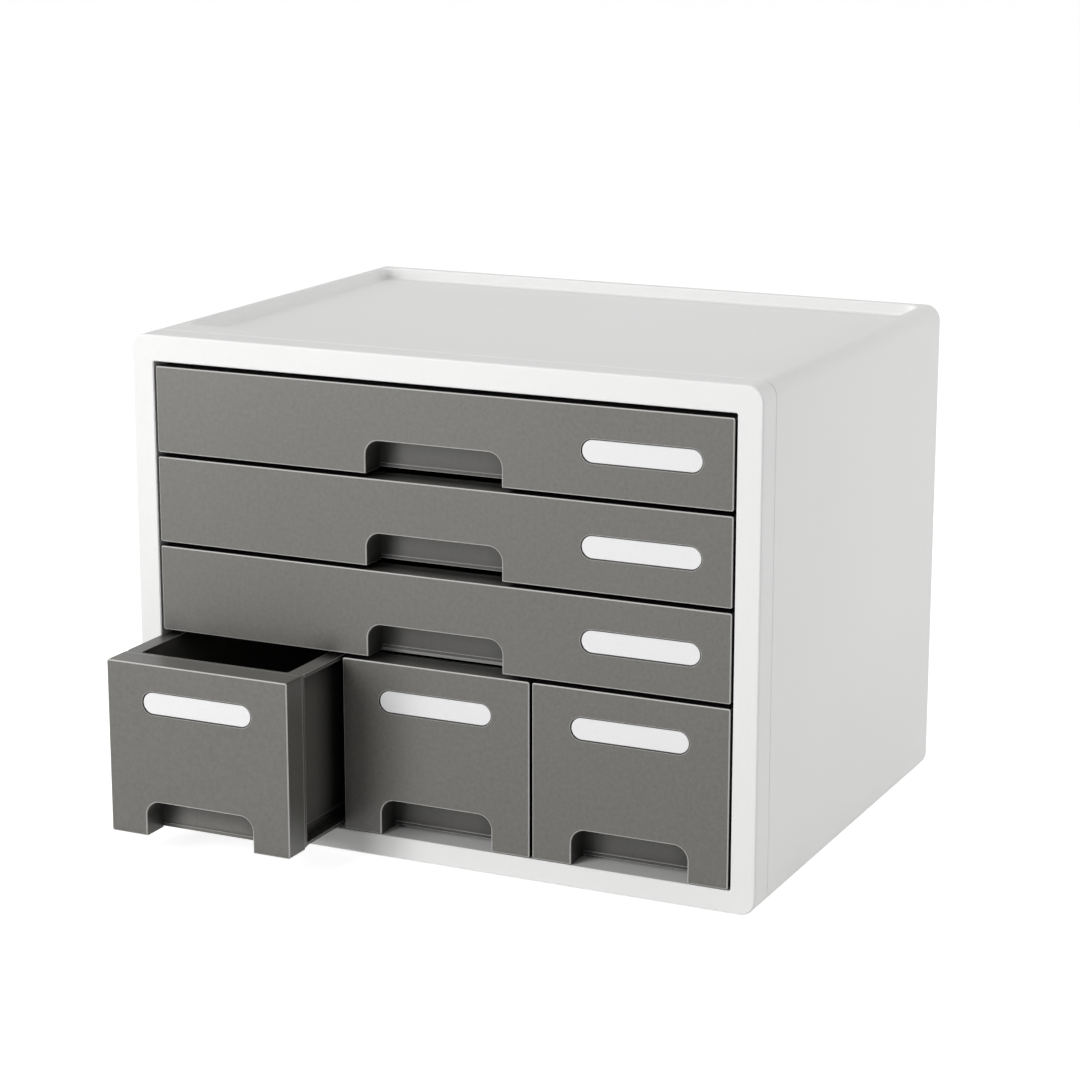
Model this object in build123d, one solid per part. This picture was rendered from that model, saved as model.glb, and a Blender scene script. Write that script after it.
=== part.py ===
"""Desktop cabinet with three wide shallow drawers above three small deep ones, in moulded plastic.

X runs to the right, Y from front to back and Z up. Inside this file Y is measured from the front
face of the frame and Z from the surface that the cabinet stands on. The finished pieces are then
shifted along Y, so that the origin is the middle of the whole part on that surface, with the left
small drawer pulled out.
"""
import os

from build123d import *

# Cabinet, in millimetres
case_width = 362.0
case_depth = 275.0
case_height = 272.5
case_wall = 2.5
case_corner = 8.5
foot_proud = 1.0

# Front frame
frame_depth = 17.2
frame_face = 2.5
frame_return = 2.2
frame_edge_round = 1.2
opening_edge_bevel = 0.5
opening_corner = 1.0
side_border = 13.5
bottom_border = 12.0
top_border = 14.3
lip_length = 6.0
lip_thickness = 2.0
lip_root = 5.0
seam_chamfer = 0.6

# Tray in the top
tray_sink = 7.0
tray_floor = 2.5
tray_side_rim = 10.0
tray_front_rim = 37.0
tray_back_rim = 6.0
tray_corner = 9.0
tray_cove = 2.0
tray_rim_round = 1.0

# Casing floor, skirt and feet
case_floor = 2.2
case_back_round = 1.5
underside_rib = 1.6
underside_rib_depth = 3.0
long_ribs = 5
cross_ribs = 4
foot_diameter = 16.0
foot_thickness = 2.2
foot_boss_wall = 2.0
foot_inset = 24.0

# Back panel and its clips
panel_thickness = 2.0
panel_recess = 0.8
panel_border = 14.0
panel_dish = 1.0
panel_corner = 1.0
panel_field_corner = 10.0
shoulder_width = 3.0
shoulder_thickness = 2.0
clip_width = 12.0
clip_thickness = 1.6
clip_hook = 1.4
clip_lead = 1.0
clips_per_side = 3

# Drawers
pull_out = 56.0
travel = 190.0
wide_height = 46.7
small_count = 3
wide_count = 3
side_gap = 1.5
row_gap = 2.6
small_gap = 1.8
floor_gap = 0.5
drawer_length = 258.0

# Drawer front cap
cap_depth = 16.0
cap_face = 2.2
cap_wall = 1.8
cap_corner = 1.0
cap_edge_bevel = 0.5
pocket_wall = 1.6
pocket_corner = 8.0
wide_pocket_width = 79.0
wide_pocket_height = 17.8
small_pocket_width = 65.4
small_pocket_height = 19.5
post_diameter = 4.0
spigot_diameter = 2.4
post_from_side = 3.9
post_from_edge = 12.0

# Labels
label_width = 66.5
label_height = 12.9
label_sink = 0.9
card_thickness = 0.5
wide_label_from_side = 16.0
small_label_from_top = 21.0

# Drawer box
plate_thickness = 2.2
box_wall = 2.0
box_floor = 1.8
box_floor_lift = 3.2
box_lift = 0.9
box_corner = 4.0
box_cove = 1.8
waist_height = 6.0
waist_inset = 0.6
rim_inset = 0.5
rim_reach = 7.0
rim_back_reach = 4.0
rim_thickness = 1.8
flange_reach = 6.0
flange_thickness = 1.6
toe_height = 2.0
toe_proud = 0.5
stop_height = 0.8
stop_length = 4.0
stop_width = 4.5
box_rib_pitch = 55.0
box_rib = 1.4

# Runners, shelf and dividers
runner_web = 2.0
runner_rib = 1.6
floor_rail_width = 3.2
ledge_thickness = 2.0
ledge_reach = 6.5
keeper_thickness = 1.6
keeper_gap = 0.6
divider_thickness = 1.6
tab_length = 30.0
tab_count = 3

# Clearances
slide_gap = 0.2
stop_gap = 0.3
seat_gap = 0.2
side_play = 0.8
tab_gap = 0.15
card_gap = 0.15
spigot_gap = 0.08
pocket_gap = 0.3
same_place = 0.01

# Heights above the standing surface
case_bottom = foot_proud
case_top = case_bottom + case_height
floor_top = case_bottom + bottom_border
floor_underside = floor_top - case_floor
tray_top = case_top - tray_sink
tray_underside = tray_top - tray_floor
opening_top = case_top - top_border
wide_pitch = wide_height + row_gap
wide_bottoms = [opening_top - (wide_count - row) * wide_pitch for row in range(wide_count)]
small_bottom = floor_top + floor_gap
small_top = wide_bottoms[0] - row_gap
small_height = small_top - small_bottom
ledge_over_front = box_lift - slide_gap
shelf_top = wide_bottoms[0] + ledge_over_front
shelf_underside = shelf_top - ledge_thickness

# Widths, from the middle of the cabinet
case_half = case_width / 2
inner_half = case_half - case_wall
opening_half = case_half - side_border
wide_width = 2 * (opening_half - side_gap)
small_width = (wide_width - (small_count - 1) * small_gap) / small_count
small_pitch = small_width + small_gap
small_middles = [(column - (small_count - 1) / 2) * small_pitch for column in range(small_count)]
divider_middles = [(column + 1 - small_count / 2) * small_pitch for column in range(small_count - 1)]
runner_face = wide_width / 2 - rim_inset + side_play
runner_back = runner_face + runner_web

# Depths behind the front face
plate_front = cap_depth
plate_back = plate_front + plate_thickness
runner_front = plate_back + stop_gap
lip_back = frame_depth + lip_length
panel_back = case_depth - panel_recess
panel_front = panel_back - panel_thickness
shoulder_front = panel_front - shoulder_thickness
clip_front = shoulder_front - seat_gap - clip_thickness
rack_back = clip_front - seat_gap
stop_lip_back = runner_front + stop_length
front_y = (pull_out - case_depth) / 2


def block(x, y, z):
    """Box between two limits along each axis."""
    size = (x[1] - x[0], y[1] - y[0], z[1] - z[0])
    return Pos(x[0], y[0], z[0]) * Box(*size, align=(Align.MIN, Align.MIN, Align.MIN))


def rounded(x, other, radius):
    """Rectangle between two limits along both of its axes, with rounded corners."""
    middle = Pos((x[0] + x[1]) / 2, (other[0] + other[1]) / 2)
    return middle * RectangleRounded(x[1] - x[0], other[1] - other[0], radius)


def upright(sketch, y):
    """Solid of an elevation, drawn in X and Z, between two depths."""
    plane = Plane(origin=(0, y[1], 0), x_dir=(1, 0, 0), z_dir=(0, -1, 0))
    return extrude(plane * sketch, amount=y[1] - y[0])


def level(sketch, z):
    """Solid of a plan, drawn in X and Y, between two heights."""
    return extrude(Pos(0, 0, z[0]) * sketch, amount=z[1] - z[0])


def spread(count, low, high):
    """Middles of equal shares of a length."""
    share = (high - low) / count
    return [low + share * (place + 0.5) for place in range(count)]


def edges_at(shape, axis, value):
    """Edges that lie in one plane across an axis."""
    return shape.edges().filter_by_position(axis, value - same_place, value + same_place)


def case_outline(inset):
    """Elevation of the cabinet's outside, or of a line inside it."""
    x = (inset - case_half, case_half - inset)
    z = (case_bottom + inset, case_top - inset)
    return rounded(x, z, case_corner - inset)


def make_front_frame():
    """White frame: a hollow section round the drawers, with a lip that plugs into the casing."""
    opening = rounded((-opening_half, opening_half), (floor_top, opening_top), opening_corner)
    frame = upright(case_outline(0), (0, frame_depth))
    frame = fillet(edges_at(frame, Axis.Y, 0), frame_edge_round)
    frame = chamfer(edges_at(frame, Axis.Y, frame_depth), seam_chamfer)
    frame -= upright(opening, (0, frame_depth))
    front_loops = frame.faces().sort_by(Axis.Y)[0].inner_wires()
    frame = chamfer(front_loops[0].edges(), opening_edge_bevel)
    return_line = rounded(
        (-opening_half - frame_return, opening_half + frame_return),
        (floor_top - frame_return, opening_top + frame_return),
        opening_corner + frame_return,
    )
    frame -= upright(case_outline(frame_face) - return_line, (frame_face, frame_depth))
    lip_outer = case_outline(case_wall + seat_gap)
    lip_inner = case_outline(case_wall + seat_gap + lip_thickness)
    lip = upright(lip_outer - lip_inner, (frame_depth - lip_root, lip_back))
    root = upright(case_outline(case_wall) - lip_inner, (frame_depth - lip_root, frame_depth))
    below = block((-case_half, case_half), (0, lip_back), (0, floor_top + seat_gap))
    return frame + (lip + root - below)


def tray_plan(grow):
    """Plan of the tray's pocket, or of a line outside it."""
    x = (tray_side_rim - case_half - grow, case_half - tray_side_rim + grow)
    y = (tray_front_rim - grow, case_depth - tray_back_rim + grow)
    return rounded(x, y, tray_corner + grow)


def tray_pocket():
    """Space of the tray, with a cove round its floor."""
    pocket = level(tray_plan(0), (tray_top, case_top + tray_sink))
    return fillet(edges_at(pocket, Axis.Z, tray_top), tray_cove)


def foot_places():
    """Middles of the four feet, in plan."""
    x = case_half - foot_inset
    return [(side * x, y) for side in (-1, 1) for y in (frame_depth + foot_inset, case_depth - foot_inset)]


def floor_rails():
    """Low rails on the casing floor that carry the small drawers' runner flanges."""
    flange_middle = small_width / 2 - rim_inset - rim_reach + flange_reach / 2
    y = (runner_front, shoulder_front)
    z = (floor_top, small_bottom + ledge_over_front)
    rails = []
    for middle in small_middles:
        for side in (-1, 1):
            place = middle + side * flange_middle
            rails.append(block((place - floor_rail_width / 2, place + floor_rail_width / 2), y, z))
    return rails


def underside_ribs():
    """Ribs, rear skirt and foot bosses under the casing floor."""
    z = (floor_underside - underside_rib_depth, floor_underside)
    y = (frame_depth + seat_gap, case_depth - case_wall)
    half = underside_rib / 2
    ribs = [block((x - half, x + half), y, z) for x in spread(long_ribs, -inner_half, inner_half)]
    ribs += [block((-inner_half, inner_half), (at - half, at + half), z) for at in spread(cross_ribs, *y)]
    for x, at in foot_places():
        boss = Circle(foot_diameter / 2 + foot_boss_wall)
        ribs.append(level(Pos(x, at) * boss, (case_bottom, floor_underside)))
    return ribs


def make_casing():
    """White shell: sides, raised floor with a skirt under it, and a top sunk into a tray."""
    shell = upright(case_outline(0), (frame_depth, case_depth))
    shell = chamfer(edges_at(shell, Axis.Y, frame_depth), seam_chamfer)
    shell = fillet(edges_at(shell, Axis.Y, case_depth), case_back_round)
    shell -= tray_pocket()
    rim_edges = shell.faces().sort_by(Axis.Z)[-1].inner_wires()[0].edges()
    shell = fillet(rim_edges, tray_rim_round)
    inside = upright(case_outline(case_wall), (frame_depth, case_depth))
    whole = (-case_half, case_half)
    inside -= block(whole, (0, case_depth), (0, floor_top))
    inside -= level(tray_plan(case_wall), (tray_underside, case_top))
    inside -= block(whole, (case_depth - tray_back_rim, case_depth), (tray_underside, case_top))
    below = upright(case_outline(case_wall), (frame_depth, case_depth - case_wall))
    below -= block(whole, (0, case_depth), (floor_underside, case_top))
    open_half = case_half - case_corner
    below += block((-open_half, open_half), (frame_depth, case_depth - case_wall), (0, floor_underside))
    shell = shell - inside - below
    shoulder_line = panel_outline(0, panel_corner) - panel_outline(shoulder_width, panel_corner)
    shoulder = upright(shoulder_line, (shoulder_front, panel_front))
    foot_recess = foot_thickness - foot_proud
    for solid in [shoulder] + floor_rails() + underside_ribs():
        shell += solid
    for x, at in foot_places():
        hole = Pos(x, at) * Circle(foot_diameter / 2 + tab_gap)
        shell -= level(hole, (case_bottom, case_bottom + foot_recess))
    for middle in divider_middles:
        shell -= divider_tabs(middle, tab_gap, (floor_underside, floor_top))
    return shell


def make_feet():
    """Four round pads in the bosses under the floor."""
    pads = [level(Pos(*place) * Circle(foot_diameter / 2), (0, foot_thickness)) for place in foot_places()]
    return Compound(children=[pad.solid() for pad in pads])


def panel_outline(inset, corner):
    """Elevation of the rear opening, or of a line inside it."""
    x = (inset - inner_half, inner_half - inset)
    return rounded(x, (floor_top + inset, tray_underside - inset), corner)


def clip(z, side):
    """Hook at one side of the back panel, behind the casing's shoulder."""
    stem_outer = inner_half - shoulder_width - seat_gap
    hook_outer = stem_outer + clip_hook
    hook_y = (clip_front, clip_front + clip_thickness)
    tall = (z - clip_width / 2, z + clip_width / 2)
    stem = block((stem_outer - clip_thickness, stem_outer), (hook_y[0], panel_front), tall)
    hook = block((stem_outer - clip_thickness, hook_outer), hook_y, tall)
    leading = hook.edges().filter_by(Axis.Z).sort_by(Axis.X)[-2:].sort_by(Axis.Y)[0]
    hook = chamfer(leading, clip_lead)
    shape = stem + hook
    return shape if side > 0 else mirror(shape, about=Plane.YZ)


def make_back_panel():
    """Panel in the casing's rear opening, with a dished field and side clips."""
    field = panel_outline(panel_border, panel_field_corner)
    panel = upright(panel_outline(seat_gap, panel_corner), (panel_front, panel_back))
    panel += upright(field, (panel_front - panel_dish, panel_front))
    field_inside = panel_outline(panel_border + panel_thickness, panel_field_corner - panel_thickness)
    panel -= upright(field_inside, (panel_back - panel_dish, panel_back))
    for z in spread(clips_per_side, floor_top, tray_underside):
        for side in (-1, 1):
            panel += clip(z, side)
    return panel


def divider_tabs(middle, grow, z):
    """Tabs along a divider's edge, or with some growth the slots that take them."""
    half = divider_thickness / 2 + grow
    tabs = []
    reach = tab_length / 2 + grow
    for y in spread(tab_count, runner_front, rack_back):
        tabs.append(block((middle - half, middle + half), (y - reach, y + reach), z))
    return tabs


def shelf_tabs(side, grow):
    """Tabs at one side of the shelf, or with some growth the slots in the runner that take them."""
    root = runner_face - seat_gap
    x = (root, runner_back + grow) if side > 0 else (-runner_back - grow, -root)
    z = (shelf_underside - grow, shelf_top + grow)
    reach = tab_length / 2 + grow
    return [block(x, (y - reach, y + reach), z) for y in spread(tab_count, runner_front, rack_back)]


def stop_lip(x_middle, underside):
    """Lip under a ledge's front end that holds a drawer's stop lug."""
    x = (x_middle - stop_width / 2, x_middle + stop_width / 2)
    return block(x, (runner_front, stop_lip_back), (underside - stop_height, underside))


def make_shelf():
    """Shelf over the small drawers, which carries the lowest wide one."""
    half = runner_face - seat_gap
    shelf = block((-half, half), (runner_front, rack_back), (shelf_underside, shelf_top))
    for side in (-1, 1):
        shelf += shelf_tabs(side, 0)
    for middle in divider_middles:
        shelf -= divider_tabs(middle, tab_gap, (shelf_underside, shelf_top))
    for middle in small_middles:
        for side in (-1, 1):
            place = middle + side * (small_width / 2 - rim_inset - stop_width / 2)
            shelf += stop_lip(place, shelf_underside)
    return shelf


def keeper_heights():
    """Undersides of the keeper ribs, which stand just over the runner flanges."""
    over = box_lift + flange_thickness + keeper_gap
    return [bottom + over for bottom in [small_bottom] + wide_bottoms]


def make_divider(middle):
    """Upright wall between two small drawers, with a keeper rib on each side."""
    half = divider_thickness / 2
    plate = block((middle - half, middle + half), (runner_front, rack_back), (floor_top, shelf_underside))
    plate += divider_tabs(middle, 0, (floor_underside, floor_top))
    plate += divider_tabs(middle, 0, (shelf_underside, shelf_top))
    reach = half + ledge_reach
    z = (keeper_heights()[0], keeper_heights()[0] + keeper_thickness)
    return plate + block((middle - reach, middle + reach), (runner_front, rack_back), z)


def make_runner(side):
    """Side panel of the rack: ledges and keeper ribs inwards, standing ribs out to the casing."""
    y = (runner_front, rack_back)
    top = tray_underside - seat_gap
    panel = block((runner_face, runner_back), y, (floor_top, top))
    inwards = (runner_face - ledge_reach, runner_face)
    outwards = (runner_back, inner_half - seat_gap)
    rib_y = (lip_back + seat_gap, rack_back)
    for underside in keeper_heights():
        panel += block(inwards, y, (underside, underside + keeper_thickness))
    for bottom in wide_bottoms[1:] + [opening_top]:
        ledge_top = bottom + ledge_over_front
        panel += block(inwards, y, (ledge_top - ledge_thickness, ledge_top))
        panel += stop_lip(runner_face - side_play - stop_width / 2, ledge_top - ledge_thickness)
        panel += block(outwards, rib_y, (ledge_top - runner_rib, ledge_top))
    for low in (floor_top, shelf_top + keeper_thickness, top - runner_rib):
        panel += block(outwards, rib_y, (low, low + runner_rib))
    for back in (rib_y[0] + runner_rib, rack_back):
        panel += block(outwards, (back - runner_rib, back), (floor_top, top))
    panel -= shelf_tabs(1, tab_gap)
    return panel if side > 0 else mirror(panel, about=Plane.YZ)


def pocket_outline(width, height, grow):
    """Elevation of the finger pocket: open below, with rounded upper corners."""
    x = (-width / 2 - grow, width / 2 + grow)
    radius = pocket_corner + grow
    return rounded(x, (-height, height + grow), radius)


def label_outline(grow):
    """Stadium of the label."""
    return SlotOverall(label_width + 2 * grow, label_height + 2 * grow)


def post_places(width, height):
    """Middles of the cap's posts, in its elevation."""
    x = width / 2 - post_from_side
    return [(side * x, z) for side in (-1, 1) for z in (post_from_edge, height - post_from_edge)]


def make_cap(width, height, pocket, label_place):
    """Hollow drawer front: face, returns, finger pocket, label recess and corner posts."""
    outline = rounded((-width / 2, width / 2), (0, height), cap_corner)
    cap = upright(outline - pocket_outline(*pocket, 0), (0, cap_depth))
    cap = chamfer(cap.faces().sort_by(Axis.Y)[0].outer_wire().edges(), cap_edge_bevel)
    inner_x = (cap_wall - width / 2, width / 2 - cap_wall)
    hollow = rounded(inner_x, (cap_wall, height - cap_wall), cap_corner / 2)
    hollow -= pocket_outline(*pocket, pocket_wall)
    cap -= upright(hollow, (cap_face, cap_depth))
    for place in post_places(width, height):
        cap += upright(Pos(*place) * Circle(post_diameter / 2), (cap_face, cap_depth))
        cap += upright(Pos(*place) * Circle(spigot_diameter / 2), (cap_depth, plate_back))
    return cap - upright(Pos(*label_place) * label_outline(0), (0, label_sink))


def make_card(label_place):
    """Label card on the floor of its recess."""
    outline = Pos(*label_place) * label_outline(-card_gap)
    return upright(outline, (label_sink - card_thickness, label_sink))


def make_box(width, height, pocket):
    """Drawer box: front plate, waisted walls, floor, outward rim, runner flanges and stop lugs."""
    plate_outline = rounded((-width / 2, width / 2), (box_lift, height), cap_corner)
    box = upright(plate_outline, (plate_front, plate_back))
    for place in post_places(width, height):
        box -= upright(Pos(*place) * Circle(spigot_diameter / 2 + spigot_gap), (plate_front, plate_back))
    toe_half = pocket[0] / 2 - pocket_gap
    box += block((-toe_half, toe_half), (plate_front - toe_proud, plate_front), (box_lift, box_lift + toe_height))
    rim_half = width / 2 - rim_inset
    wall_half = rim_half - rim_reach
    wall_back = drawer_length - rim_back_reach
    rim_y = (plate_front + cap_corner, drawer_length)
    rim = level(rounded((-rim_half, rim_half), rim_y, box_corner), (height - rim_thickness, height))
    rim -= block((-width, width), (0, plate_front + plate_thickness / 2), (0, height))
    outer_y = (plate_front + plate_thickness / 2, wall_back)
    walls = block((-wall_half, wall_half), outer_y, (box_lift, height))
    walls = fillet(walls.edges().filter_by(Axis.Z).group_by(Axis.Y)[-1], box_corner)
    waist_z = (box_lift + flange_thickness, box_lift + flange_thickness + waist_height)
    for side in (-1, 1):
        waist_x = sorted((side * (wall_half - waist_inset), side * wall_half))
        walls -= block(waist_x, (plate_back, wall_back - box_corner), waist_z)
    inner_half_width = wall_half - box_wall
    inner_y = (plate_back, wall_back - box_wall)
    floor_z = box_lift + box_floor_lift
    space = block((-inner_half_width, inner_half_width), inner_y, (floor_z + box_floor, height + box_cove))
    space = fillet(space.edges().filter_by(Axis.Z), box_corner - box_wall)
    space = fillet(edges_at(space, Axis.Z, floor_z + box_floor), box_cove)
    under = block((-inner_half_width, inner_half_width), inner_y, (0, floor_z))
    flange_half = wall_half + flange_reach
    flange = block((-flange_half, flange_half), (plate_back, wall_back), (box_lift, box_lift + flange_thickness))
    flange = fillet(flange.edges().filter_by(Axis.Z).group_by(Axis.Y)[-1], box_corner)
    box = box + rim + walls + flange - space - under
    rib_count = round(2 * inner_half_width / box_rib_pitch)
    for x in spread(rib_count, -inner_half_width, inner_half_width):
        box += block((x - box_rib / 2, x + box_rib / 2), inner_y, (box_lift, floor_z))
    lug_front = stop_lip_back + travel + stop_gap
    for side in (-1, 1):
        x = side * (rim_half - stop_width / 2)
        lug_x = (x - stop_width / 2, x + stop_width / 2)
        box += block(lug_x, (lug_front, lug_front + stop_length), (height, height + stop_height))
    return box


def save(name, shape, x=0.0, y=0.0, z=0.0):
    """Write one node at its place in the part's own frame."""
    export_step(Pos(x, front_y + y, z) * shape, f"parts/{name}.step")


def save_drawer(name, size, pocket, label_place, place, pulled):
    """Write a drawer's front, box and label card."""
    width, height = size
    x, z = place
    save(f"{name}_front", make_cap(width, height, pocket, label_place), x, -pulled, z)
    save(f"{name}_box", make_box(width, height, pocket), x, -pulled, z)
    save(f"{name}_label", make_card(label_place), x, -pulled, z)


os.makedirs("parts", exist_ok=True)
save("front_frame", make_front_frame())
save("casing", make_casing())
save("back_panel", make_back_panel())
save("shelf", make_shelf())
save("feet", make_feet())
for side, hand in ((-1, "left"), (1, "right")):
    save(f"runner_{hand}", make_runner(side))
    save(f"divider_{hand}", make_divider(divider_middles[0 if side < 0 else -1]))

wide_pocket = (wide_pocket_width, wide_pocket_height)
wide_label = (wide_width / 2 - wide_label_from_side - label_width / 2, wide_height / 2)
for name, bottom in zip(("wide_lower", "wide_middle", "wide_upper"), wide_bottoms):
    save_drawer(name, (wide_width, wide_height), wide_pocket, wide_label, (0, bottom), 0)

small_pocket = (small_pocket_width, small_pocket_height)
small_label = (0, small_height - small_label_from_top)
for name, middle in zip(("small_left", "small_middle", "small_right"), small_middles):
    pulled = pull_out if name == "small_left" else 0
    save_drawer(name, (small_width, small_height), small_pocket, small_label, (middle, small_bottom), pulled)
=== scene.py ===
import math

import bpy
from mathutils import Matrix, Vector


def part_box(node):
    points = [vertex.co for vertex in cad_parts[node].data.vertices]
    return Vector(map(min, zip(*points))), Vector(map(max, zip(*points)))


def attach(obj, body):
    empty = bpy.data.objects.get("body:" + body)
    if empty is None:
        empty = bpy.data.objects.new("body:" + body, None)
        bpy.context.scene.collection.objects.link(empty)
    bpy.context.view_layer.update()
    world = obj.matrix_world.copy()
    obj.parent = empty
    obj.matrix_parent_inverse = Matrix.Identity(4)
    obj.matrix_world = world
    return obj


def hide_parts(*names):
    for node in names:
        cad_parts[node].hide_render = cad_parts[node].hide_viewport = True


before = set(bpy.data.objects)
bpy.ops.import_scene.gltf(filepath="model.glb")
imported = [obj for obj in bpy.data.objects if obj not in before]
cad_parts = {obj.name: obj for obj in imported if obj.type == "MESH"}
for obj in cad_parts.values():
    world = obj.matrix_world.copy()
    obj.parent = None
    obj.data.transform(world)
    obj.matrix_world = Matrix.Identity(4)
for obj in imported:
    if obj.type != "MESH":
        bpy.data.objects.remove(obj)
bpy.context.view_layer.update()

drawerNames = ("wide_upper", "wide_middle", "wide_lower", "small_left", "small_middle", "small_right")


# small helpers for node trees

def plug(tree, source, target):
    tree.links.new(source, target)


def addNode(tree, kind, **settings):
    node = tree.nodes.new(kind)
    for name, value in settings.items():
        setattr(node, name, value)
    return node


def mathNode(tree, operation, first, second=None, clamp=False):
    node = addNode(tree, "ShaderNodeMath", operation=operation, use_clamp=clamp)
    for socket, value in zip(node.inputs, (first, second)):
        if value is None:
            continue
        if isinstance(value, (int, float)):
            socket.default_value = value
        else:
            plug(tree, value, socket)
    return node.outputs[0]


mixSockets = {"factor": 0, "first": 6, "second": 7, "result": 2}  # places on a Mix node set to colours


def mixColour(tree, factor, first, second):
    node = addNode(tree, "ShaderNodeMix", data_type="RGBA")
    for label, value in (("factor", factor), ("first", first), ("second", second)):
        place = mixSockets[label]
        if isinstance(value, (int, float)):
            node.inputs[place].default_value = value
        elif isinstance(value, tuple):
            node.inputs[place].default_value = (*value, 1.0)
        else:
            plug(tree, value, node.inputs[place])
    return node.outputs[mixSockets["result"]]


def newGroup(name, inputs, outputs):
    group = bpy.data.node_groups.new(name, "ShaderNodeTree")
    for label, value in inputs.items():
        socket = group.interface.new_socket(label, in_out="INPUT", socket_type="NodeSocketFloat")
        socket.default_value = value
    for label in outputs:
        group.interface.new_socket(label, in_out="OUTPUT", socket_type="NodeSocketFloat")
    start = group.nodes.new("NodeGroupInput")
    end = group.nodes.new("NodeGroupOutput")
    return group, start.outputs, end.inputs


def placeGroup(tree, group, **values):
    node = addNode(tree, "ShaderNodeGroup", node_tree=group)
    for name, value in values.items():
        node.inputs[name].default_value = value
    return node


effects = {"fineDetail": 2.0, "broadDetail": 1.0, "broadScale": 0.35, "driftDetail": 2.0, "samples": 8,
           "hollowReach": 2.5, "hollowContrast": 3.0}


# spark-eroded mould texture: a fine pebble with a coarser one under it

def makeGrainGroup():
    group, given, out = newGroup("mouldGrain", {"Pebble": 0.0006, "Contrast": 3.0}, ("Height", "Speckle"))
    place = addNode(group, "ShaderNodeTexCoord")
    scale = mathNode(group, "DIVIDE", 1.0, given["Pebble"])
    fine = addNode(group, "ShaderNodeTexNoise")
    fine.inputs["Detail"].default_value = effects["fineDetail"]
    plug(group, place.outputs["Object"], fine.inputs["Vector"])
    plug(group, scale, fine.inputs["Scale"])
    broad = addNode(group, "ShaderNodeTexNoise")
    broad.inputs["Detail"].default_value = effects["broadDetail"]
    plug(group, place.outputs["Object"], broad.inputs["Vector"])
    plug(group, mathNode(group, "MULTIPLY", scale, effects["broadScale"]), broad.inputs["Scale"])
    together = mathNode(group, "ADD", fine.outputs["Fac"], broad.outputs["Fac"])
    height = mathNode(group, "MULTIPLY", together, 0.5)  # the mean of the two
    plug(group, height, out["Height"])
    spread = mathNode(group, "MULTIPLY", mathNode(group, "SUBTRACT", height, 0.5), given["Contrast"])
    plug(group, mathNode(group, "ADD", spread, 0.5, clamp=True), out["Speckle"])
    return group


# slow drift of tone across a moulding, about a hand wide

def makeDriftGroup():
    group, given, out = newGroup("toneDrift", {"Spread": 0.12}, ("Drift",))
    place = addNode(group, "ShaderNodeTexCoord")
    cloud = addNode(group, "ShaderNodeTexNoise")
    cloud.inputs["Detail"].default_value = effects["driftDetail"]
    plug(group, place.outputs["Object"], cloud.inputs["Vector"])
    plug(group, mathNode(group, "DIVIDE", 1.0, given["Spread"]), cloud.inputs["Scale"])
    plug(group, cloud.outputs["Fac"], out["Drift"])
    return group


# how open a place is: 1 on a free face, towards 0 deep in a gap; the mask for painted shade in gaps and
# hollows

def makePaintedShadeGroup():
    group, given, out = newGroup("paintedGapShade", {"Reach": 0.006, "Depth": 1.5}, ("Open",))
    nearby = addNode(group, "ShaderNodeAmbientOcclusion", samples=effects["samples"])
    plug(group, given["Reach"], nearby.inputs["Distance"])
    plug(group, mathNode(group, "POWER", nearby.outputs["AO"], given["Depth"]), out["Open"])
    return group


# painted highlight: mask of the edges where a lighter colour is painted, sharp ones by a rounded normal,
# bevels by their slope to the front

def makePaintedHighlightGroup():
    inputs = {"Width": 0.0004, "Sharp": 1.0, "Sloped": 1.0, "Hollow": 0.55}
    group, given, out = newGroup("edgeLight", inputs, ("Mask",))
    rounded = addNode(group, "ShaderNodeBevel", samples=effects["samples"])
    plug(group, given["Width"], rounded.inputs["Radius"])
    flat = addNode(group, "ShaderNodeNewGeometry")
    agree = addNode(group, "ShaderNodeVectorMath", operation="DOT_PRODUCT")
    plug(group, rounded.outputs["Normal"], agree.inputs[0])
    plug(group, flat.outputs["Normal"], agree.inputs[1])
    turned = mathNode(group, "SUBTRACT", 1.0, agree.outputs["Value"])
    sharp = mathNode(group, "MULTIPLY", turned, given["Sharp"])
    facing = addNode(group, "ShaderNodeSeparateXYZ")
    plug(group, addNode(group, "ShaderNodeTexCoord").outputs["Normal"], facing.inputs[0])
    squared = mathNode(group, "MULTIPLY", facing.outputs["Y"], facing.outputs["Y"])
    slope = mathNode(group, "MULTIPLY", squared, mathNode(group, "SUBTRACT", 1.0, squared))
    bevelled = mathNode(group, "MULTIPLY", slope, 4.0)  # 1 on a bevel of 45 degrees
    sloped = mathNode(group, "MULTIPLY", bevelled, given["Sloped"])
    either = mathNode(group, "MAXIMUM", sharp, sloped, clamp=True)
    # the painted highlight stays off inner corners
    hollow = addNode(group, "ShaderNodeAmbientOcclusion", samples=effects["samples"])
    reach = mathNode(group, "MULTIPLY", given["Width"], effects["hollowReach"])
    plug(group, reach, hollow.inputs["Distance"])
    clear = mathNode(group, "SUBTRACT", hollow.outputs["AO"], given["Hollow"])
    outer = mathNode(group, "MULTIPLY", clear, effects["hollowContrast"], clamp=True)
    plug(group, mathNode(group, "MULTIPLY", either, outer), out["Mask"])
    return group


grainGroup = makeGrainGroup()
driftGroup = makeDriftGroup()
paintedShadeGroup = makePaintedShadeGroup()
edgeGroup = makePaintedHighlightGroup()
print("shared effects built")


# moulded plastics

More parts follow.
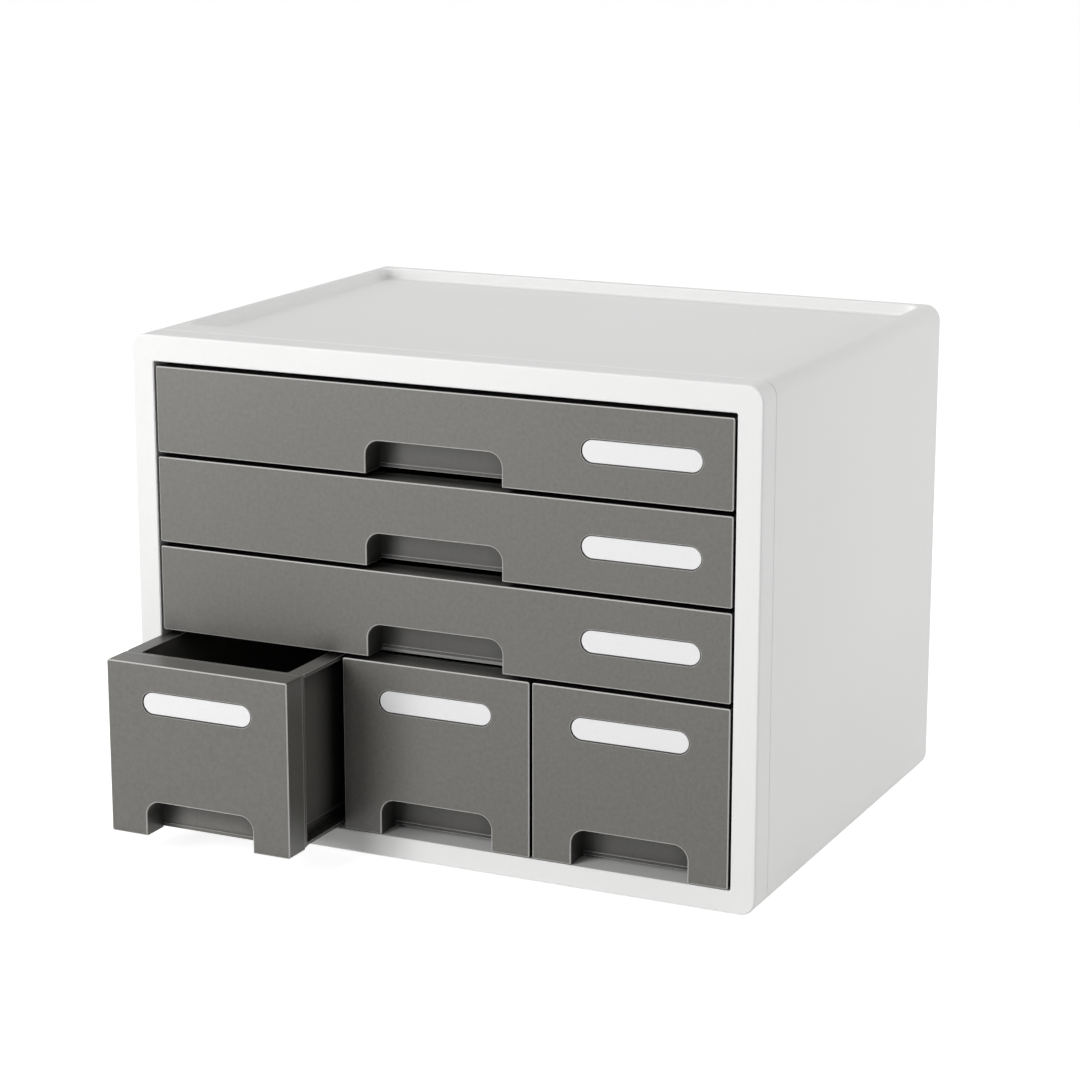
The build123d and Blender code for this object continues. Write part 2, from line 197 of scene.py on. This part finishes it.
bodyWhite = {"colour": (0.9, 0.9, 0.892), "deeper": (0.87, 0.87, 0.861), "edge": (0.97, 0.97, 0.967),
             "shade": (0.5, 0.5, 0.5), "roughness": 0.5, "pebble": 0.0005, "grainDepth": 0.00002,
             "drift": 0.15, "paintedShadeReach": 0.003, "paintedShadeDepth": 0.5, "sharpHighlight": 2.0, "slopedHighlight": 2.0,
             "hollow": 0.1}
rackGrey = {"colour": (0.55, 0.55, 0.545), "deeper": (0.5, 0.5, 0.495), "edge": (0.62, 0.62, 0.62),
            "shade": (0.12, 0.12, 0.12), "roughness": 0.5, "pebble": 0.0005, "grainDepth": 0.00002,
            "drift": 0.1, "paintedShadeReach": 0.006, "paintedShadeDepth": 1.0, "sharpHighlight": 1.5, "slopedHighlight": 0.0,
            "hollow": 0.55}
drawerGrey = {"colour": (0.168, 0.164, 0.151), "deeper": (0.108, 0.105, 0.096), "edge": (0.66, 0.65, 0.63),
              "shade": (0.005, 0.005, 0.005), "roughness": 0.36, "pebble": 0.0008, "grainDepth": 0.00006,
              "drift": 0.12, "paintedShadeReach": 0.017, "paintedShadeDepth": 2.3, "sharpHighlight": 5.0, "slopedHighlight": 1.2,
              "hollow": 0.55}
plasticSetup = {"edgeWidth": 0.0006, "grainShare": 0.5, "roughnessSpread": 0.12, "bumpStrength": 0.5}


def makePlastic(name, look):
    material = bpy.data.materials.new(name)
    material.use_nodes = True
    tree = material.node_tree
    shader = tree.nodes["Principled BSDF"]
    drift = placeGroup(tree, driftGroup, Spread=look["drift"]).outputs["Drift"]
    grain = placeGroup(tree, grainGroup, Pebble=look["pebble"])
    opening = placeGroup(tree, paintedShadeGroup, Reach=look["paintedShadeReach"], Depth=look["paintedShadeDepth"]).outputs["Open"]
    edge = placeGroup(tree, edgeGroup, Width=plasticSetup["edgeWidth"], Sharp=look["sharpHighlight"],
                      Sloped=look["slopedHighlight"], Hollow=look["hollow"])
    grainShare, roughnessSpread = plasticSetup["grainShare"], plasticSetup["roughnessSpread"]
    drifted = mathNode(tree, "MULTIPLY", drift, 1.0 - grainShare)
    speckled = mathNode(tree, "MULTIPLY", grain.outputs["Speckle"], grainShare)
    tone = mathNode(tree, "ADD", drifted, speckled, clamp=True)
    base = mixColour(tree, tone, look["colour"], look["deeper"])
    # painted shade: the colour goes towards the shade colour in gaps, hollows and between parts
    base = mixColour(tree, opening, look["shade"], base)
    # painted highlight: a lighter colour painted along the edges by the edge mask
    plug(tree, mixColour(tree, edge.outputs["Mask"], base, look["edge"]), shader.inputs["Base Color"])
    rough = mathNode(tree, "MULTIPLY", drift, roughnessSpread)
    rough = mathNode(tree, "ADD", rough, look["roughness"] - roughnessSpread / 2)
    plug(tree, rough, shader.inputs["Roughness"])
    bump = addNode(tree, "ShaderNodeBump")
    bump.inputs["Strength"].default_value = plasticSetup["bumpStrength"]
    bump.inputs["Distance"].default_value = look["grainDepth"]
    plug(tree, grain.outputs["Height"], bump.inputs["Height"])
    plug(tree, bump.outputs["Normal"], shader.inputs["Normal"])
    return material


cardLook = {"colour": (0.9, 0.9, 0.905), "deeper": (0.86, 0.86, 0.868), "edge": (0.97, 0.97, 0.97),
            "roughness": 0.4, "pebble": 0.0003, "edgeWidth": 0.0006, "sharpHighlight": 3.0}


def makeCard():
    material = bpy.data.materials.new("labelCard")
    material.use_nodes = True
    tree = material.node_tree
    shader = tree.nodes["Principled BSDF"]
    grain = placeGroup(tree, grainGroup, Pebble=cardLook["pebble"])
    base = mixColour(tree, grain.outputs["Speckle"], cardLook["colour"], cardLook["deeper"])
    edge = placeGroup(tree, edgeGroup, Width=cardLook["edgeWidth"], Sharp=cardLook["sharpHighlight"], Sloped=0.0)
    # painted highlight: a lighter colour painted along the card's edges
    plug(tree, mixColour(tree, edge.outputs["Mask"], base, cardLook["edge"]), shader.inputs["Base Color"])
    shader.inputs["Roughness"].default_value = cardLook["roughness"]
    return material


rubberLook = {"colour": (0.035, 0.035, 0.035), "paler": (0.06, 0.06, 0.058), "roughness": 0.8,
              "pebble": 0.0004}


def makeRubber():
    material = bpy.data.materials.new("footRubber")
    material.use_nodes = True
    tree = material.node_tree
    shader = tree.nodes["Principled BSDF"]
    grain = placeGroup(tree, grainGroup, Pebble=rubberLook["pebble"])
    base = mixColour(tree, grain.outputs["Speckle"], rubberLook["colour"], rubberLook["paler"])
    plug(tree, base, shader.inputs["Base Color"])
    shader.inputs["Roughness"].default_value = rubberLook["roughness"]
    return material


bodyPlastic = makePlastic("bodyPlastic", bodyWhite)
rackPlastic = makePlastic("rackPlastic", rackGrey)
drawerPlastic = makePlastic("drawerPlastic", drawerGrey)
labelCard = makeCard()
footRubber = makeRubber()

finishes = {"front_frame": bodyPlastic, "casing": bodyPlastic, "back_panel": bodyPlastic,
            "shelf": rackPlastic, "feet": footRubber, "runner_left": rackPlastic,
            "runner_right": rackPlastic, "divider_left": rackPlastic, "divider_right": rackPlastic}
for name in drawerNames:
    finishes[name + "_front"] = drawerPlastic
    finishes[name + "_box"] = drawerPlastic
for name, material in finishes.items():
    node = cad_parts[name]
    node.data.materials.clear()
    node.data.materials.append(material)
print("finishes set on", len(finishes), "nodes")


# label cards: one stadium rule for all six, each laid in its own drawer's recess

labelSetup = {"slack": 0.0012, "thickness": 0.00045, "cornerPoints": 24, "samePlace": 0.000001}


def makeCardTree():
    tree = bpy.data.node_groups.new("labelCardShape", "GeometryNodeTree")
    tree.interface.new_socket("Geometry", in_out="OUTPUT", socket_type="NodeSocketGeometry")
    for label in ("Width", "Height", "Thickness"):
        tree.interface.new_socket(label, in_out="INPUT", socket_type="NodeSocketFloat")
    tree.interface.new_socket("Front Middle", in_out="INPUT", socket_type="NodeSocketVector")
    tree.interface.new_socket("Finish", in_out="INPUT", socket_type="NodeSocketMaterial")
    given = tree.nodes.new("NodeGroupInput").outputs
    done = tree.nodes.new("NodeGroupOutput").inputs
    outline = addNode(tree, "GeometryNodeCurvePrimitiveQuadrilateral")
    plug(tree, given["Width"], outline.inputs["Width"])
    plug(tree, given["Height"], outline.inputs["Height"])
    stadium = addNode(tree, "GeometryNodeFilletCurve", mode="POLY")
    stadium.inputs["Count"].default_value = labelSetup["cornerPoints"]
    stadium.inputs["Limit Radius"].default_value = True
    plug(tree, outline.outputs["Curve"], stadium.inputs["Curve"])
    plug(tree, mathNode(tree, "MULTIPLY", given["Height"], 0.5), stadium.inputs["Radius"])
    sheet = addNode(tree, "GeometryNodeFillCurve", mode="NGONS")
    plug(tree, stadium.outputs["Curve"], sheet.inputs["Curve"])
    raised = addNode(tree, "GeometryNodeExtrudeMesh", mode="FACES")
    plug(tree, sheet.outputs["Mesh"], raised.inputs["Mesh"])
    plug(tree, given["Thickness"], raised.inputs["Offset Scale"])
    under = addNode(tree, "GeometryNodeFlipFaces")
    plug(tree, sheet.outputs["Mesh"], under.inputs["Mesh"])
    both = addNode(tree, "GeometryNodeJoinGeometry")
    plug(tree, raised.outputs["Mesh"], both.inputs[0])
    plug(tree, under.outputs["Mesh"], both.inputs[0])
    closed = addNode(tree, "GeometryNodeMergeByDistance")
    closed.inputs["Distance"].default_value = labelSetup["samePlace"]
    plug(tree, both.outputs["Geometry"], closed.inputs["Geometry"])
    upright = addNode(tree, "GeometryNodeTransform")
    upright.inputs["Rotation"].default_value = (math.radians(90), 0, 0)  # from lying to facing the front
    plug(tree, closed.outputs["Geometry"], upright.inputs["Geometry"])
    plug(tree, given["Front Middle"], upright.inputs["Translation"])
    solid = addNode(tree, "GeometryNodeRealizeInstances")
    plug(tree, upright.outputs["Geometry"], solid.inputs["Geometry"])
    finished = addNode(tree, "GeometryNodeSetMaterial")
    plug(tree, solid.outputs["Geometry"], finished.inputs["Geometry"])
    plug(tree, given["Finish"], finished.inputs["Material"])
    plug(tree, finished.outputs["Geometry"], done["Geometry"])
    return tree


def bakeTree(name, tree, values):
    # the object that the tree makes with these inputs, as a plain mesh
    mesh = bpy.data.meshes.new(name)
    holder = bpy.data.objects.new(name, mesh)
    bpy.context.scene.collection.objects.link(holder)
    modifier = holder.modifiers.new("shape", "NODES")
    modifier.node_group = tree
    sockets = {item.name: item.identifier for item in tree.interface.items_tree if item.in_out == "INPUT"}
    for label, value in values.items():
        modifier[sockets[label]] = value
    ready = holder.evaluated_get(bpy.context.evaluated_depsgraph_get())
    baked = bpy.data.meshes.new_from_object(ready)
    holder.modifiers.remove(modifier)
    holder.data = baked
    baked.name = name
    return holder


cardTree = makeCardTree()
for name in drawerNames:
    low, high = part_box(name + "_label")
    middle = [(a + b) / 2 for a, b in zip(low, high)]
    slack, thickness = labelSetup["slack"], labelSetup["thickness"]
    card = bakeTree(name + "_card", cardTree, {
        "Width": high[0] - low[0] - slack, "Height": high[2] - low[2] - slack, "Thickness": thickness,
        "Front Middle": (middle[0], high[1], middle[2]), "Finish": labelCard})
    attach(card, name + "_drawer")
    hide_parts(name + "_label")
print("label cards laid in", len(drawerNames), "fronts")


# studio: floor, lamps, surroundings and camera

studio = {"floorSize": 30.0, "floorTone": 0.8, "floorRoughness": 0.9, "floorGloss": 0.1, "floorGlow": 0.8,
          "ambient": 0.2}
lamps = {
    "frontLeft": {"place": (-1.4, -2.9, 1.3), "aim": (0.0, -0.1, 0.13), "size": 1.5, "power": 61.0},
    "lowLeft": {"place": (-1.3, -1.75, 0.3), "aim": (0.0, -0.1, 0.2), "size": 0.5, "power": 7.3},
    "rightBack": {"place": (1.8, 0.9, 0.8), "aim": (0.18, 0.05, 0.13), "size": 1.0, "power": 14.5},
    "topBack": {"place": (-0.15, 0.62, 1.7), "aim": (0.0, 0.05, 0.27), "size": 0.9, "power": 6.6},
}
cameraSetup = {"place": (0.6874, -1.4262, 0.5386), "down": 13.64, "turn": 25.44, "lens": 98.65,
               "sensor": 36.0, "farthest": 50.0}


def seenRay(tree):
    # 1 for what the camera sees, itself or through gloss and glass
    path = addNode(tree, "ShaderNodeLightPath").outputs
    gloss = mathNode(tree, "MAXIMUM", path["Is Camera Ray"], path["Is Glossy Ray"])
    return mathNode(tree, "MAXIMUM", gloss, path["Is Transmission Ray"])


def makeFloor():
    half = studio["floorSize"] / 2
    mesh = bpy.data.meshes.new("floor")
    corners = [(-half, -half, 0), (half, -half, 0), (half, half, 0), (-half, half, 0)]
    mesh.from_pydata(corners, [], [(0, 1, 2, 3)])
    floor = bpy.data.objects.new("floor", mesh)
    bpy.context.scene.collection.objects.link(floor)
    material = bpy.data.materials.new("paleFloor")
    material.use_nodes = True
    tree = material.node_tree
    shader = tree.nodes["Principled BSDF"]
    tone = studio["floorTone"]
    shader.inputs["Base Color"].default_value = (tone, tone, tone, 1.0)
    shader.inputs["Roughness"].default_value = studio["floorRoughness"]
    shader.inputs["Specular IOR Level"].default_value = studio["floorGloss"]
    shader.inputs["Emission Color"].default_value = (1.0, 1.0, 1.0, 1.0)
    glow = mathNode(tree, "MULTIPLY", seenRay(tree), studio["floorGlow"])
    plug(tree, glow, shader.inputs["Emission Strength"])
    mesh.materials.append(material)


def makeSurroundings():
    world = bpy.data.worlds.new("studio")
    bpy.context.scene.world = world
    world.use_nodes = True
    tree = world.node_tree
    backdrop = tree.nodes["Background"]
    backdrop.inputs["Color"].default_value = (1.0, 1.0, 1.0, 1.0)
    lift = mathNode(tree, "MULTIPLY", seenRay(tree), 1.0 - studio["ambient"])
    plug(tree, mathNode(tree, "ADD", lift, studio["ambient"]), backdrop.inputs["Strength"])


def makeLamp(name, setup):
    lamp = bpy.data.lights.new(name, "AREA")
    lamp.shape = "SQUARE"
    lamp.size = setup["size"]
    lamp.energy = setup["power"]
    holder = bpy.data.objects.new(name, lamp)
    bpy.context.scene.collection.objects.link(holder)
    holder.location = setup["place"]
    aim = Vector(setup["aim"]) - Vector(setup["place"])
    holder.rotation_euler = aim.to_track_quat("-Z", "Y").to_euler()


def makeCamera():
    lens = bpy.data.cameras.new("camera")
    lens.sensor_width = cameraSetup["sensor"]
    lens.lens = cameraSetup["lens"]
    lens.clip_end = cameraSetup["farthest"]
    camera = bpy.data.objects.new("camera", lens)
    bpy.context.scene.collection.objects.link(camera)
    camera.location = cameraSetup["place"]
    camera.rotation_euler = (math.radians(90 - cameraSetup["down"]), 0, math.radians(cameraSetup["turn"]))
    bpy.context.scene.camera = camera


makeFloor()
makeSurroundings()
for name, setup in lamps.items():
    makeLamp(name, setup)
makeCamera()
bpy.context.scene.view_settings.view_transform = "Standard"
print("studio ready")
